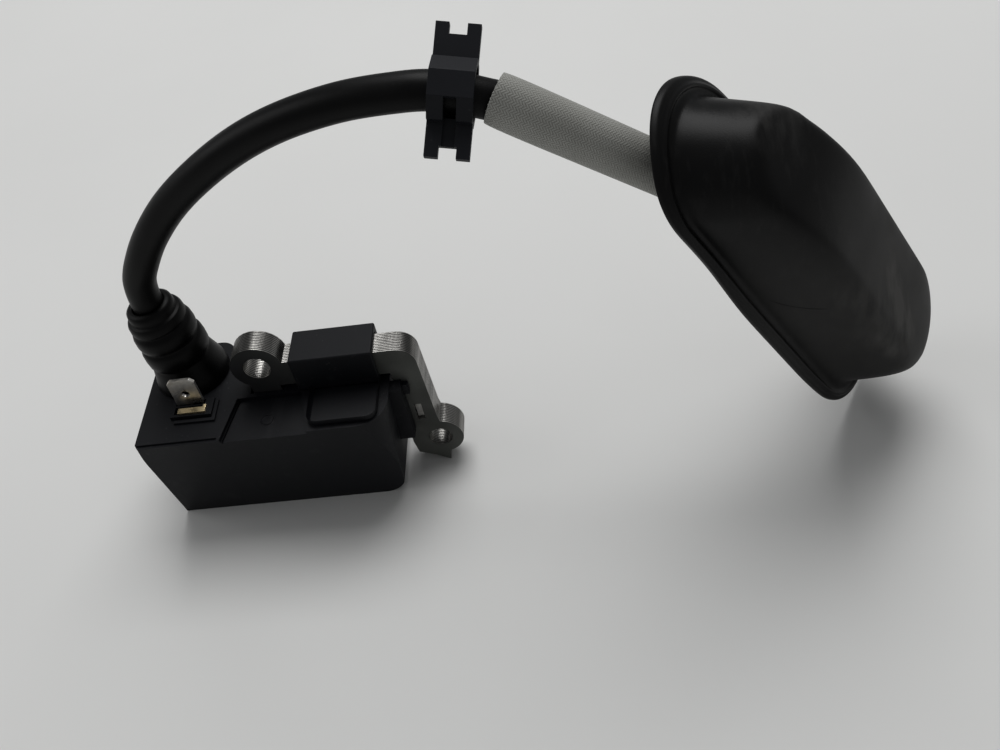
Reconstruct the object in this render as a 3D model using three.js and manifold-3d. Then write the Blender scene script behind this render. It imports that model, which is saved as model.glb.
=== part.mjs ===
// Ignition coil of a handheld power tool: a potted coil module on a laminated U core, its high-tension
// lead with a wire guide and a glass-fibre heat sleeve, and the rubber plug cover with its connector.
// Millimetres, +Z up. The module stands on its housing, which rests on z = 0.
//
// Inside the file, points are written in module coordinates: x to the right and y back from the front
// left corner of the housing's top, z up from the housing's top face.

import * as THREE from 'three';
import { mergeVertices } from 'three/addons/utils/BufferGeometryUtils.js';
import Module from 'manifold-3d';

// ---- driving dimensions -------------------------------------------------------------------------

const GAP = 0.3; // clearance between pieces that touch

const HOUSING_WIDTH = 57;
const HOUSING_DEPTH = 27;
const HOUSING_HEIGHT = 30.35;
const HOUSING_WALL = 1.8;
const FRONT_LEAN = 5.3; // how far the front face leans back on its way down
const RIGHT_LEAN = 1.6;
const RIGHT_CORNER_RADIUS = 7;
const LEFT_CORNER_RADIUS = 1.4;
const FRONT_FOOT_RADIUS = 6; // lower right corner of the front face
const RECESS_DEPTH = 1; // middle zone of the top face
const RAIL_WIDTH = 2.4; // rail between the housing and the outer leg
const RAIL_FRONT = 9.8;

const STACK_FRONT = 13.4; // front face of the laminated core
const LAMINATION_COUNT = 12;
const LAMINATION_PITCH = 0.5;
const LAMINATION_THICKNESS = 0.45;
const YOKE_TOP = 8.4;
const YOKE_BOTTOM = 1.4;
const INNER_LEG_X = 28.6; // centre line of the leg inside the coil
const INNER_LEG_WIDTH = 7.2;
const OUTER_LEG_GAP = 0.6; // between the housing's right wall and the outer leg
const OUTER_LEG_WIDTH = 6.4; // at the yoke
const OUTER_LEG_FOOT_WIDTH = 7.3; // and at its mounting ear
const YOKE_CORNER_RADIUS = 4.5;
const LEFT_EAR_Z = 7.4;
const LEFT_EAR_RADIUS = 6;
const LEFT_EAR_HOLE = 3.1;
const RIGHT_EAR_OFFSET = 6.7; // from the outer leg's inner edge
const RIGHT_EAR_ABOVE_FOOT = 8.55; // from the housing's foot
const RIGHT_EAR_RADIUS = 5.5;
const RIGHT_EAR_HOLE = 2.8;
const ROTOR_RADIUS = 36.4; // flywheel radius and air gap, which the pole faces follow
const POLE_TIP_WIDTH = 7.7; // outer leg's width at its pole face

const YOKE_COVER_LENGTH = 18.8;
const YOKE_COVER_RIGHT_GAP = 2.5; // from the cover's right end to the outer leg's inner edge
const YOKE_COVER_WALL = 1;
const YOKE_COVER_BACK_WALL = 2;

const STAKE_WIDTH = 1.7;
const STAKE_HEIGHT = 5.1;
const STAKE_DROP = 17.1; // leg stake's middle, below the yoke's middle line
const STAKE_SINK = 0.7; // how far the stake's end lies below the front lamination

const RELIEF_X = 9.7;
const RELIEF_Y = 22;
const RELIEF_TILT = THREE.MathUtils.degToRad(6);
const RELIEF_BASE_RADIUS = 8.6;
const RELIEF_HEIGHT = 23.5;
const LEAD_RADIUS = 3.5;
const LEAD_CLEARANCE = 0.45; // round the lead, in every piece that it passes through

const BLADE_X = 11.4;
const BLADE_Y = 11;
const BLADE_WIDTH = 6.3;
const BLADE_THICKNESS = 0.8;
const BLADE_HEIGHT = 8.6;
const BLADE_SHANK = 6; // length below the top face
const BLADE_HOLE = 0.95;

const GUIDE_LENGTH = 7.8; // along the lead
const GUIDE_PLATE = 1.8;
const GUIDE_ABOVE = 11.6; // from the lead's middle to the upper end
const GUIDE_BELOW = 11.4;
const GUIDE_NOTCH = 3.1;
const GUIDE_NOTCH_DEPTH = 2;
const GUIDE_CHANNEL = 2.2; // slot down the front of the lower plate
const GUIDE_CHANNEL_DEPTH = 0.6;
const GUIDE_BORE = LEAD_RADIUS + 1.1; // the lead bends a little inside the guide
const GUIDE_WALL = 0.8;

const SLEEVE_WALL = 0.5;
const SLEEVE_RADIUS = LEAD_RADIUS + 0.8 + SLEEVE_WALL;
const SLEEVE_LENGTH = 38;

const COVER_FLANGE_HALF_WIDTH = 17.2;
const PLUG_WALL = 2.2;
const COVER_DEPTH = 22.5;
const COVER_FLANGE_THICKNESS = 2;
const COVER_STRAIGHT = 32.4; // half length of the flange's straight sides
const CONNECTOR_RADIUS = 7.3;
const CONNECTOR_BORE = 5;
const CONNECTOR_TOP = -3; // mouth of the connector, from the flange's open face
const SOCKET_RADIUS = LEAD_RADIUS + LEAD_CLEARANCE + 1.65; // side socket that takes the lead

// ---- sizes that follow --------------------------------------------------------------------------

const STACK_DEPTH = LAMINATION_COUNT * LAMINATION_PITCH;
const STACK_BACK = STACK_FRONT + STACK_DEPTH;
const STACK_MIDDLE = STACK_FRONT + STACK_DEPTH / 2;
const FLOOR = -HOUSING_HEIGHT;
const YOKE_MIDDLE = (YOKE_TOP + YOKE_BOTTOM) / 2;
const OUTER_LEG_INSIDE = HOUSING_WIDTH + OUTER_LEG_GAP;
const OUTER_LEG_SHOULDER = OUTER_LEG_INSIDE + OUTER_LEG_WIDTH;
const OUTER_LEG_FOOT = OUTER_LEG_INSIDE + OUTER_LEG_FOOT_WIDTH;
const RIGHT_EAR_X = OUTER_LEG_INSIDE + RIGHT_EAR_OFFSET;
const RIGHT_EAR_Z = FLOOR + RIGHT_EAR_ABOVE_FOOT;
const POLE_TIP_X = OUTER_LEG_INSIDE + POLE_TIP_WIDTH;
const YOKE_COVER_RIGHT = OUTER_LEG_INSIDE - YOKE_COVER_RIGHT_GAP;
const YOKE_COVER_LEFT = YOKE_COVER_RIGHT - YOKE_COVER_LENGTH;
const STAKE_X = OUTER_LEG_INSIDE + (OUTER_LEG_WIDTH + OUTER_LEG_FOOT_WIDTH) / 4 + 0.2;
const STAKE_Z = YOKE_MIDDLE - STAKE_DROP;
const YOKE_STAKE_X = (YOKE_COVER_LEFT + YOKE_COVER_RIGHT) / 2;
const INNER_LEG_LEFT = INNER_LEG_X - INNER_LEG_WIDTH / 2;
const INNER_LEG_RIGHT = INNER_LEG_X + INNER_LEG_WIDTH / 2;
const OUTER_LEG_X = (OUTER_LEG_INSIDE + POLE_TIP_X) / 2;
const ROTOR_X = (INNER_LEG_X + OUTER_LEG_X) / 2;
const poleDrop = (x) => Math.sqrt(ROTOR_RADIUS ** 2 - (x - ROTOR_X) ** 2);
const ROTOR_Z = FLOOR + 0.1 - poleDrop(POLE_TIP_X);
const MODULE_RIGHT = Math.max(RIGHT_EAR_X + RIGHT_EAR_RADIUS, POLE_TIP_X);
const LOBE_RADIUS = RELIEF_BASE_RADIUS + 0.4; // the housing behind the strain relief
const LOBE_BACK = Math.max(RELIEF_Y + LOBE_RADIUS, HOUSING_DEPTH + 2);

// ---- booleans and small helpers -----------------------------------------------------------------

const wasm = await Module();
wasm.setup();

function toSolid(geometry) {
  let bare = geometry.index ? geometry.toNonIndexed() : geometry.clone();
  for (const name of Object.keys(bare.attributes)) {
    if (name !== 'position') bare.deleteAttribute(name);
  }
  bare = mergeVertices(bare, 1e-4);
  const mesh = new wasm.Mesh({
    numProp: 3,
    vertProperties: new Float32Array(bare.attributes.position.array),
    triVerts: new Uint32Array(bare.index.array),
  });
  return new wasm.Manifold(mesh);
}

function toGeometry(solid) {
  const mesh = solid.getMesh();
  const geometry = new THREE.BufferGeometry();
  geometry.setAttribute('position', new THREE.BufferAttribute(mesh.vertProperties, 3));
  geometry.setIndex(new THREE.BufferAttribute(mesh.triVerts, 1));
  const flat = geometry.toNonIndexed();
  flat.computeVertexNormals();
  return flat;
}

const join = (first, ...others) => others.reduce((sum, other) => sum.add(other), first);
const cut = (body, ...tools) => tools.reduce((left, tool) => left.subtract(tool), body);

function boxGeometry(x0, x1, y0, y1, z0, z1) {
  const geometry = new THREE.BoxGeometry(x1 - x0, y1 - y0, z1 - z0);
  return geometry.translate((x0 + x1) / 2, (y0 + y1) / 2, (z0 + z1) / 2);
}

const boxSolid = (...sides) => toSolid(boxGeometry(...sides));

// A prism whose outline is drawn in x and z, from y0 to y1.
function frontPrism(shape, y0, y1, curveSegments = 12) {
  const geometry = new THREE.ExtrudeGeometry(shape, { depth: y1 - y0, bevelEnabled: false, curveSegments });
  return geometry.rotateX(Math.PI / 2).translate(0, y1, 0);
}

// A prism whose outline is drawn in x and y, from z0 to z1.
function planPrism(shape, z0, z1, curveSegments = 8) {
  const geometry = new THREE.ExtrudeGeometry(shape, { depth: z1 - z0, bevelEnabled: false, curveSegments });
  return geometry.translate(0, 0, z0);
}

// An upright cylinder of radius r from z0 to z1 at x, y.
function postGeometry(r, x, y, z0, z1, segments = 20) {
  const geometry = new THREE.CylinderGeometry(r, r, z1 - z0, segments);
  return geometry.rotateX(Math.PI / 2).translate(x, y, (z0 + z1) / 2);
}

// A ring or post turned from a closed profile of [radius, height] points, about the z axis.
function turned(profile, segments = 28) {
  const points = profile.map(([r, z]) => new THREE.Vector2(r, z));
  return new THREE.LatheGeometry(points, segments).rotateX(Math.PI / 2);
}

const module = new THREE.Group();
module.position.set(-MODULE_RIGHT / 2, -LOBE_BACK / 2, HOUSING_HEIGHT);

function add(name, geometry, finish, parent = module) {
  const material = new THREE.MeshStandardMaterial(finish);
  const mesh = new THREE.Mesh(geometry, material);
  mesh.name = name;
  parent.add(mesh);
  return mesh;
}

const BLACK_NYLON = { color: 0x1c1d20, roughness: 0.55, metalness: 0 };
const BLACK_RUBBER = { color: 0x161616, roughness: 0.7, metalness: 0 };
const CORE_STEEL = { color: 0x6a6b66, roughness: 0.45, metalness: 0.9 };
const TINNED = { color: 0xb9b6ac, roughness: 0.3, metalness: 1 };
const BRASS = { color: 0xb08a45, roughness: 0.35, metalness: 1 };
const RESIN = { color: 0x101214, roughness: 0.25, metalness: 0 };
const COPPER = { color: 0xa3541f, roughness: 0.35, metalness: 0.9 };
const FORMER = { color: 0xd8d2bf, roughness: 0.6, metalness: 0 };
const BOARD = { color: 0x1f5a35, roughness: 0.5, metalness: 0 };
const GLASS_FIBRE = { color: 0xa9aaa4, roughness: 0.85, metalness: 0 };

// ---- laminated core -----------------------------------------------------------------------------

// Outline of one lamination: left ear, yoke, outer leg with its ear, and the inner leg.
function laminationShape() {
  const shape = new THREE.Shape();
  const earMeet = Math.sqrt(LEFT_EAR_RADIUS ** 2 - (YOKE_TOP - LEFT_EAR_Z) ** 2);
  const earStart = Math.atan2(YOKE_TOP - LEFT_EAR_Z, earMeet);
  const earFoot = Math.atan2(YOKE_BOTTOM - LEFT_EAR_Z, INNER_LEG_LEFT - INNER_LEG_X);
  shape.moveTo(INNER_LEG_X + earMeet, YOKE_TOP);
  shape.absarc(INNER_LEG_X, LEFT_EAR_Z, LEFT_EAR_RADIUS, earStart, earFoot + 2 * Math.PI, false);
  for (const x of [INNER_LEG_LEFT, INNER_LEG_LEFT + 2.4, INNER_LEG_LEFT + 4.8, INNER_LEG_RIGHT]) {
    shape.lineTo(x, ROTOR_Z + poleDrop(x));
  }
  shape.lineTo(INNER_LEG_RIGHT, YOKE_BOTTOM);
  shape.lineTo(OUTER_LEG_INSIDE, YOKE_BOTTOM);
  shape.lineTo(OUTER_LEG_INSIDE, RIGHT_EAR_Z - 1);
  const poleInside = OUTER_LEG_INSIDE + 0.6;
  for (const x of [poleInside, (poleInside + POLE_TIP_X) / 2, POLE_TIP_X]) {
    shape.lineTo(x, ROTOR_Z + poleDrop(x));
  }
  const tipTop = RIGHT_EAR_Z - RIGHT_EAR_RADIUS + 0.2;
  const tipMeet = Math.sqrt(RIGHT_EAR_RADIUS ** 2 - (tipTop - RIGHT_EAR_Z) ** 2);
  shape.lineTo(RIGHT_EAR_X + tipMeet, tipTop);
  const legMeet = OUTER_LEG_FOOT - RIGHT_EAR_X + 0.3;
  const earEnd = Math.acos(legMeet / RIGHT_EAR_RADIUS);
  const earBegin = Math.atan2(tipTop - RIGHT_EAR_Z, tipMeet);
  shape.absarc(RIGHT_EAR_X, RIGHT_EAR_Z, RIGHT_EAR_RADIUS, earBegin, earEnd, false);
  shape.lineTo(OUTER_LEG_FOOT, RIGHT_EAR_Z + RIGHT_EAR_RADIUS + 2);
  shape.lineTo(OUTER_LEG_SHOULDER, YOKE_TOP - YOKE_CORNER_RADIUS);
  const corner = YOKE_CORNER_RADIUS;
  shape.absarc(OUTER_LEG_SHOULDER - corner, YOKE_TOP - corner, corner, 0, Math.PI / 2, false);
  const hole = (x, z, r) => {
    const path = new THREE.Path();
    path.absarc(x, z, r, 0, 2 * Math.PI, true);
    return path;
  };
  shape.holes.push(hole(INNER_LEG_X, LEFT_EAR_Z, LEFT_EAR_HOLE));
  shape.holes.push(hole(RIGHT_EAR_X, RIGHT_EAR_Z, RIGHT_EAR_HOLE));
  for (const [x, z, width, height] of stakes()) {
    const slot = new THREE.Path();
    slot.moveTo(x - width / 2, z - height / 2);
    slot.lineTo(x - width / 2, z + height / 2);
    slot.lineTo(x + width / 2, z + height / 2);
    slot.lineTo(x + width / 2, z - height / 2);
    slot.closePath();
    shape.holes.push(slot);
  }
  return shape;
}

// The two punched interlocks that hold the stack together: one in the leg, one under the yoke cover.
function stakes() {
  return [
    [STAKE_X, STAKE_Z, STAKE_WIDTH, STAKE_HEIGHT],
    [YOKE_STAKE_X, YOKE_MIDDLE, STAKE_HEIGHT, STAKE_WIDTH],
  ];
}

const outline = laminationShape();
for (let i = 0; i < LAMINATION_COUNT; i += 1) {
  const y = STACK_FRONT + i * LAMINATION_PITCH;
  const name = `lamination_${String(i + 1).padStart(2, '0')}`;
  add(name, frontPrism(outline, y, y + LAMINATION_THICKNESS, 9), CORE_STEEL);
}

const stakeNames = ['core_stake_leg', 'core_stake_yoke'];
stakes().forEach(([x, z, width, height], i) => {
  const play = 0.05;
  const [halfX, halfZ] = [width / 2 - play, height / 2 - play];
  const y0 = STACK_FRONT + STAKE_SINK;
  add(stakeNames[i], boxGeometry(x - halfX, x + halfX, y0, STACK_BACK, z - halfZ, z + halfZ), CORE_STEEL);
});

// ---- housing ------------------------------------------------------------------------------------

// Plan outline of the housing, grown inwards by inset; the lobe behind the strain relief is optional.
function housingPlan(inset, withLobe) {
  const right = HOUSING_WIDTH - inset;
  const back = HOUSING_DEPTH + (inset > 0 ? 1 : 0);
  const cornerRight = RIGHT_CORNER_RADIUS - inset;
  const cornerLeft = Math.max(LEFT_CORNER_RADIUS - inset, 0.4);
  const shape = new THREE.Shape();
  shape.moveTo(inset + cornerLeft, inset);
  shape.lineTo(right - cornerRight, inset);
  shape.absarc(right - cornerRight, inset + cornerRight, cornerRight, -Math.PI / 2, 0, false);
  shape.lineTo(right, back);
  if (withLobe) {
    const round = Math.min(LOBE_RADIUS, LOBE_BACK - back);
    shape.lineTo(RELIEF_X + LOBE_RADIUS, back);
    shape.absarc(RELIEF_X + LOBE_RADIUS - round, LOBE_BACK - round, round, 0, Math.PI / 2, false);
    shape.lineTo(inset + 2, LOBE_BACK);
    shape.lineTo(inset, LOBE_BACK - 2);
  } else {
    shape.lineTo(inset, back);
  }
  shape.lineTo(inset, inset + cornerLeft);
  shape.absarc(inset + cornerLeft, inset + cornerLeft, cornerLeft, Math.PI, 1.5 * Math.PI, false);
  return shape;
}

// Side view outline: the front face leans back on its way down.
function leaningSide(inset, back) {
  const frontAt = (z) => (FRONT_LEAN * -z) / HOUSING_HEIGHT + inset;
  const shape = new THREE.Shape();
  shape.moveTo(frontAt(-inset), -inset);
  shape.lineTo(frontAt(FLOOR + inset), FLOOR + inset);
  shape.lineTo(back, FLOOR + inset);
  shape.lineTo(back, -inset);
  shape.closePath();
  const geometry = new THREE.ExtrudeGeometry(shape, { depth: HOUSING_WIDTH + 2, bevelEnabled: false });
  return toSolid(geometry.rotateX(Math.PI / 2).rotateZ(Math.PI / 2).translate(-1, 0, 0));
}

// Front view outline: the right wall leans in and its lower corner is round.
function frontFace() {
  const r = FRONT_FOOT_RADIUS;
  const right = HOUSING_WIDTH;
  const shape = new THREE.Shape();
  shape.moveTo(-1, 1);
  shape.lineTo(-1, FLOOR);
  shape.lineTo(right - RIGHT_LEAN - r, FLOOR);
  shape.absarc(right - RIGHT_LEAN - r, FLOOR + r, r, -Math.PI / 2, 0, false);
  shape.lineTo(right, 0);
  shape.lineTo(right, 1);
  shape.closePath();
  return toSolid(frontPrism(shape, -1, LOBE_BACK + 1));
}

// The recessed middle zone of the top face, wider at the front than at the back.
function topRecess() {
  const shape = new THREE.Shape();
  shape.moveTo(19.4, -1);
  shape.lineTo(39.6, -1);
  shape.lineTo(36.8, 12);
  shape.lineTo(21.8, 12);
  shape.closePath();
  return toSolid(planPrism(shape, -RECESS_DEPTH, 1));
}

const STRIP = {
  x0: BLADE_X - BLADE_WIDTH / 2 + 0.05,
  x1: BLADE_X + BLADE_WIDTH / 2 + 0.15,
  y0: BLADE_Y - 2.6,
  y1: BLADE_Y - 1.1,
  z0: -0.6,
  z1: 1.5,
};
const TERMINAL_FRAME = {
  x0: STRIP.x0 - 1.1,
  x1: STRIP.x1 + 2.1,
  y0: STRIP.y0 - 1,
  y1: BLADE_Y + BLADE_THICKNESS + 0.6,
  height: 1,
};
const legSlot = {
  x0: INNER_LEG_LEFT - GAP,
  x1: INNER_LEG_RIGHT + GAP,
  y0: STACK_FRONT - GAP,
  y1: STACK_BACK + GAP,
};

function housing() {
  const planOuter = toSolid(planPrism(housingPlan(0, true), FLOOR, 0));
  const outer = planOuter.intersect(leaningSide(0, LOBE_BACK + 1)).intersect(frontFace());
  const cavityPlan = toSolid(planPrism(housingPlan(HOUSING_WALL, false), FLOOR, 0));
  const cavity = cavityPlan.intersect(leaningSide(HOUSING_WALL, HOUSING_DEPTH + 1));
  const lobeCut = boxSolid(-1, HOUSING_WIDTH, HOUSING_DEPTH, LOBE_BACK + 1, FLOOR - 1, -9);
  const { x0, x1, y0, y1, height } = TERMINAL_FRAME;
  const frame = boxSolid(x0, x1, y0, y1, -0.5, height);
  const stripPocket = boxSolid(
    STRIP.x0 - GAP, STRIP.x1 + GAP, STRIP.y0 - GAP, STRIP.y1 + GAP, STRIP.z0 - GAP, STRIP.z1 + 1,
  );
  const bladeSlot = boxSolid(
    BLADE_X - BLADE_WIDTH / 2 - GAP, BLADE_X + BLADE_WIDTH / 2 + GAP,
    BLADE_Y - GAP, BLADE_Y + BLADE_THICKNESS + GAP,
    -HOUSING_WALL - 1, height + 1,
  );
  const coreSlot = boxSolid(legSlot.x0, legSlot.x1, legSlot.y0, legSlot.y1, FLOOR - 1, 1);
  const pinHole = toSolid(postGeometry(PIN.radius + GAP, RELIEF_X, RELIEF_Y, -HOUSING_WALL - 1, 1));
  const rail = join(
    boxSolid(HOUSING_WIDTH - 1.2, HOUSING_WIDTH + RAIL_WIDTH, RAIL_FRONT, STACK_FRONT - GAP, -17, -0.6),
    boxSolid(
      HOUSING_WIDTH + RAIL_WIDTH - 0.2, HOUSING_WIDTH + RAIL_WIDTH + 1.4,
      STACK_FRONT - 1.6, STACK_FRONT - GAP, -4.2, -1.2,
    ),
  );
  const shell = cut(outer, cavity, lobeCut, topRecess()).add(frame);
  return toGeometry(cut(shell, stripPocket, bladeSlot, coreSlot, pinHole).add(rail));
}

const PIN = { radius: 1.1 };
add('coil_housing', housing(), BLACK_NYLON);

// Cured resin that closes the open back of the housing, with a clear margin all round.
const resinX1 = HOUSING_WIDTH - RIGHT_LEAN - HOUSING_WALL - GAP;
add('potting_resin', boxGeometry(
  HOUSING_WALL + GAP, resinX1, HOUSING_DEPTH - 1.5, HOUSING_DEPTH - 0.4,
  FLOOR + HOUSING_WALL + GAP, -HOUSING_WALL - GAP,
), RESIN);

// ---- yoke cover ---------------------------------------------------------------------------------

function yokeCover() {
  const front = STACK_FRONT - GAP - YOKE_COVER_WALL;
  const back = STACK_BACK + GAP + YOKE_COVER_BACK_WALL;
  const top = YOKE_TOP + GAP + YOKE_COVER_WALL;
  const body = boxSolid(YOKE_COVER_LEFT, YOKE_COVER_RIGHT, front, back, GAP, top);
  const channel = boxSolid(
    YOKE_COVER_LEFT - 1, YOKE_COVER_RIGHT + 1, STACK_FRONT - GAP, STACK_BACK + GAP, GAP - 1, YOKE_TOP + GAP,
  );
  return toGeometry(cut(body, channel));
}
add('yoke_cover', yokeCover(), BLACK_NYLON);

// ---- coil on the inner leg ----------------------------------------------------------------------

// A rectangular ring round the inner leg: half sizes outside and inside, from z0 to z1.
function legRing(outX, outY, inX, inY, z0, z1) {
  const [x, y] = [INNER_LEG_X, STACK_MIDDLE];
  const outer = boxSolid(x - outX, x + outX, y - outY, y + outY, z0, z1);
  return outer.subtract(boxSolid(x - inX, x + inX, y - inY, y + inY, z0 - 1, z1 + 1));
}

const legHalfX = INNER_LEG_WIDTH / 2 + GAP;
const legHalfY = STACK_DEPTH / 2 + GAP;
const COIL_TOP = -HOUSING_WALL - GAP;
const COIL_FOOT = FLOOR + HOUSING_WALL + GAP;
const FLANGE = 0.8;
const TUBE = 0.8;
const PRIMARY_BUILD = 1.5;
const SECONDARY_BUILD = 1.1;

const primaryX = legHalfX + TUBE;
const primaryY = legHalfY + TUBE;
const primaryOutX = primaryX + GAP + PRIMARY_BUILD;
const primaryOutY = primaryY + GAP + PRIMARY_BUILD;
const primaryTube = legRing(primaryX, primaryY, legHalfX, legHalfY, COIL_FOOT, COIL_TOP);
const topFlange = legRing(primaryOutX, primaryOutY, legHalfX, legHalfY, COIL_TOP - FLANGE, COIL_TOP);
const footFlange = legRing(primaryOutX, primaryOutY, legHalfX, legHalfY, COIL_FOOT, COIL_FOOT + FLANGE);
add('primary_bobbin', toGeometry(join(primaryTube, topFlange, footFlange)), FORMER);

const windFoot = COIL_FOOT + FLANGE + GAP;
const windTop = COIL_TOP - FLANGE - GAP;
const primary = legRing(primaryOutX, primaryOutY, primaryX + GAP, primaryY + GAP, windFoot, windTop);
add('primary_winding', toGeometry(primary), COPPER);

const secondX = primaryOutX + GAP;
const secondY = primaryOutY + GAP;
const secondTube = legRing(secondX + TUBE, secondY + TUBE, secondX, secondY, COIL_FOOT + 2, COIL_TOP - 2);
add('secondary_bobbin', toGeometry(secondTube), FORMER);
const coilX = secondX + TUBE + GAP;
const coilY = secondY + TUBE + GAP;
const secondary = legRing(
  coilX + SECONDARY_BUILD, coilY + SECONDARY_BUILD, coilX, coilY, COIL_FOOT + 4, COIL_TOP - 3,
);
add('secondary_winding', toGeometry(secondary), COPPER);

// ---- trigger circuit, on a board beside the coil ------------------------------------------------

const BOARD_X0 = coilX + SECONDARY_BUILD + INNER_LEG_X + 1.6;
const BOARD_X1 = HOUSING_WIDTH - RIGHT_LEAN - HOUSING_WALL - 1.2;
const BOARD_Y = STACK_MIDDLE;
const board = { z0: COIL_FOOT + 4, z1: COIL_TOP - 2, thickness: 1.2 };
const TRANSISTOR_HEIGHT = 6;
const COMPONENT_SPACE = 2.75; // between the transistor and the capacitor
const boardFront = BOARD_Y - GAP;
add('circuit_board', boxGeometry(
  BOARD_X0, BOARD_X1, BOARD_Y, BOARD_Y + board.thickness, board.z0, board.z1,
), BOARD);
const transistorFoot = board.z0 + 1.4;
const transistorTop = transistorFoot + TRANSISTOR_HEIGHT;
add('power_transistor', boxGeometry(
  BOARD_X0 + 1.4, BOARD_X1 - 1.4, boardFront - 3, boardFront, transistorFoot, transistorTop,
), { color: 0x141414, roughness: 0.5, metalness: 0 });
// The capacitor fills the rest of the board's front.
add('charge_capacitor', boxGeometry(
  BOARD_X0 + 1, BOARD_X1 - 1, boardFront - 4.6, boardFront,
  transistorTop + COMPONENT_SPACE, board.z1 - 1.2,
), { color: 0x8a3a1c, roughness: 0.4, metalness: 0 });
const backFace = BOARD_Y + board.thickness + GAP;
const resistor = new THREE.CylinderGeometry(1.2, 1.2, 6, 14).rotateX(Math.PI / 2);
add('trigger_resistor', resistor.translate(BOARD_X0 + 4, backFace + 1.2, board.z1 - 6),
  { color: 0xc9a26b, roughness: 0.5, metalness: 0 });
const diode = new THREE.CylinderGeometry(1.3, 1.3, 5, 14).rotateX(Math.PI / 2);
add('rectifier_diode', diode.translate(BOARD_X1 - 3.4, backFace + 1.3, board.z0 + 6),
  { color: 0x1a1a1c, roughness: 0.4, metalness: 0 });

// ---- spade terminal -----------------------------------------------------------------------------

function spadeBlade() {
  const [left, right] = [BLADE_X - BLADE_WIDTH / 2, BLADE_X + BLADE_WIDTH / 2];
  const chamfer = 0.9;
  const shape = new THREE.Shape();
  shape.moveTo(left + 1, -BLADE_SHANK);
  shape.lineTo(right - 1, -BLADE_SHANK);
  shape.lineTo(right - 1, -HOUSING_WALL);
  shape.lineTo(right, -HOUSING_WALL);
  shape.lineTo(right, BLADE_HEIGHT - chamfer);
  shape.lineTo(right - chamfer, BLADE_HEIGHT);
  shape.lineTo(left + chamfer, BLADE_HEIGHT);
  shape.lineTo(left, BLADE_HEIGHT - chamfer);
  shape.lineTo(left, -HOUSING_WALL);
  shape.lineTo(left + 1, -HOUSING_WALL);
  shape.closePath();
  const hole = new THREE.Path();
  hole.absarc(BLADE_X, BLADE_HEIGHT / 2, BLADE_HOLE, 0, 2 * Math.PI, true);
  shape.holes.push(hole);
  return frontPrism(shape, BLADE_Y, BLADE_Y + BLADE_THICKNESS, 10);
}
add('spade_terminal', spadeBlade(), TINNED);
add('terminal_strip', boxGeometry(
  STRIP.x0, STRIP.x1, STRIP.y0, STRIP.y1, STRIP.z0, STRIP.z1,
), BRASS);

// ---- strain relief and the pin that feeds the lead ----------------------------------------------

const relief = new THREE.Group();
relief.position.set(RELIEF_X, RELIEF_Y, 0);
relief.rotation.y = -RELIEF_TILT;
const reliefUp = new THREE.Vector3(-Math.sin(RELIEF_TILT), 0, Math.cos(RELIEF_TILT));
const reliefPoint = (height) => reliefUp.clone().multiplyScalar(height).add(relief.position);


// Three stepped collars over a flared base, as one turned profile.
function strainRelief() {
  const bore = LEAD_RADIUS + LEAD_CLEARANCE;
  const flare = [[RELIEF_BASE_RADIUS, -2], [RELIEF_BASE_RADIUS, 1.6], [RELIEF_BASE_RADIUS - 1, 4.2]];
  const collars = [
    [2.65, 6.2], [2.65, 7.2], [3.45, 7.8], [3.45, 10.9], [2.35, 11.8], [2.35, 13],
    [3.15, 13.6], [3.15, 16.5], [1.65, 17.6], [1.65, 18.9], [1.95, 19.5], [1.95, 22.4],
  ].map(([wall, height]) => [bore + wall, height]);
  const top = [[bore + 1.25, RELIEF_HEIGHT], [bore, RELIEF_HEIGHT]];
  const profile = [[bore, -2], ...flare, ...collars, ...top, [bore, -2]];
  const body = turned(profile, 28);
  body.rotateY(-RELIEF_TILT).translate(RELIEF_X, RELIEF_Y, 0);
  const below = boxSolid(-20, 40, 0, 60, -20, GAP);
  return toGeometry(toSolid(body).subtract(below));
}
add('strain_relief', strainRelief(), BLACK_RUBBER);

const LEAD_START = 6; // height in the strain relief at which the lead begins
add('high_tension_pin', postGeometry(PIN.radius, RELIEF_X, RELIEF_Y, -7, LEAD_START - 2, 14), BRASS);

// ---- high-tension lead --------------------------------------------------------------------------

// Route of the lead's centre line, up out of the strain relief, over and down into the plug cover.
const LEAD_ROUTE = [
  [9.07, 22, 6], [8.44, 22, 12], [7.81, 22, 18], [7.6, 21.8, 24],
  [8.8, 21.2, 30], [12.1, 20.3, 36], [17.2, 19.6, 43], [25.2, 18.5, 51.2],
  [38.9, 16, 61.4], [51, 13.5, 67.9], [64.7, 10.8, 72.4], [75.4, 8.8, 74],
  [81, 7.9, 74.2], [86, 7.2, 73.4], [90.4, 7.2, 71.6], [94.6, 8.06, 69.06],
  [103.2, 9.67, 61.82], [111.8, 11.28, 54.58], [120.4, 12.9, 47.33], [129, 14.51, 40.09],
  [137.6, 16.12, 32.85], [141.9, 16.93, 29.23],
].map(([x, y, z]) => new THREE.Vector3(x, y, z));
const leadCurve = new THREE.CatmullRomCurve3(LEAD_ROUTE, false, 'centripetal');

function roundSection(radius, sides) {
  const shape = new THREE.Shape();
  for (let i = 0; i < sides; i += 1) {
    const angle = (2 * Math.PI * i) / sides;
    const point = [radius * Math.cos(angle), radius * Math.sin(angle)];
    if (i === 0) shape.moveTo(...point);
    else shape.lineTo(...point);
  }
  shape.closePath();
  return shape;
}

add('ignition_lead', new THREE.ExtrudeGeometry(roundSection(LEAD_RADIUS, 12), {
  steps: 60, bevelEnabled: false, extrudePath: leadCurve,
}), BLACK_RUBBER);

// ---- wire guide on the lead ---------------------------------------------------------------------

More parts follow.
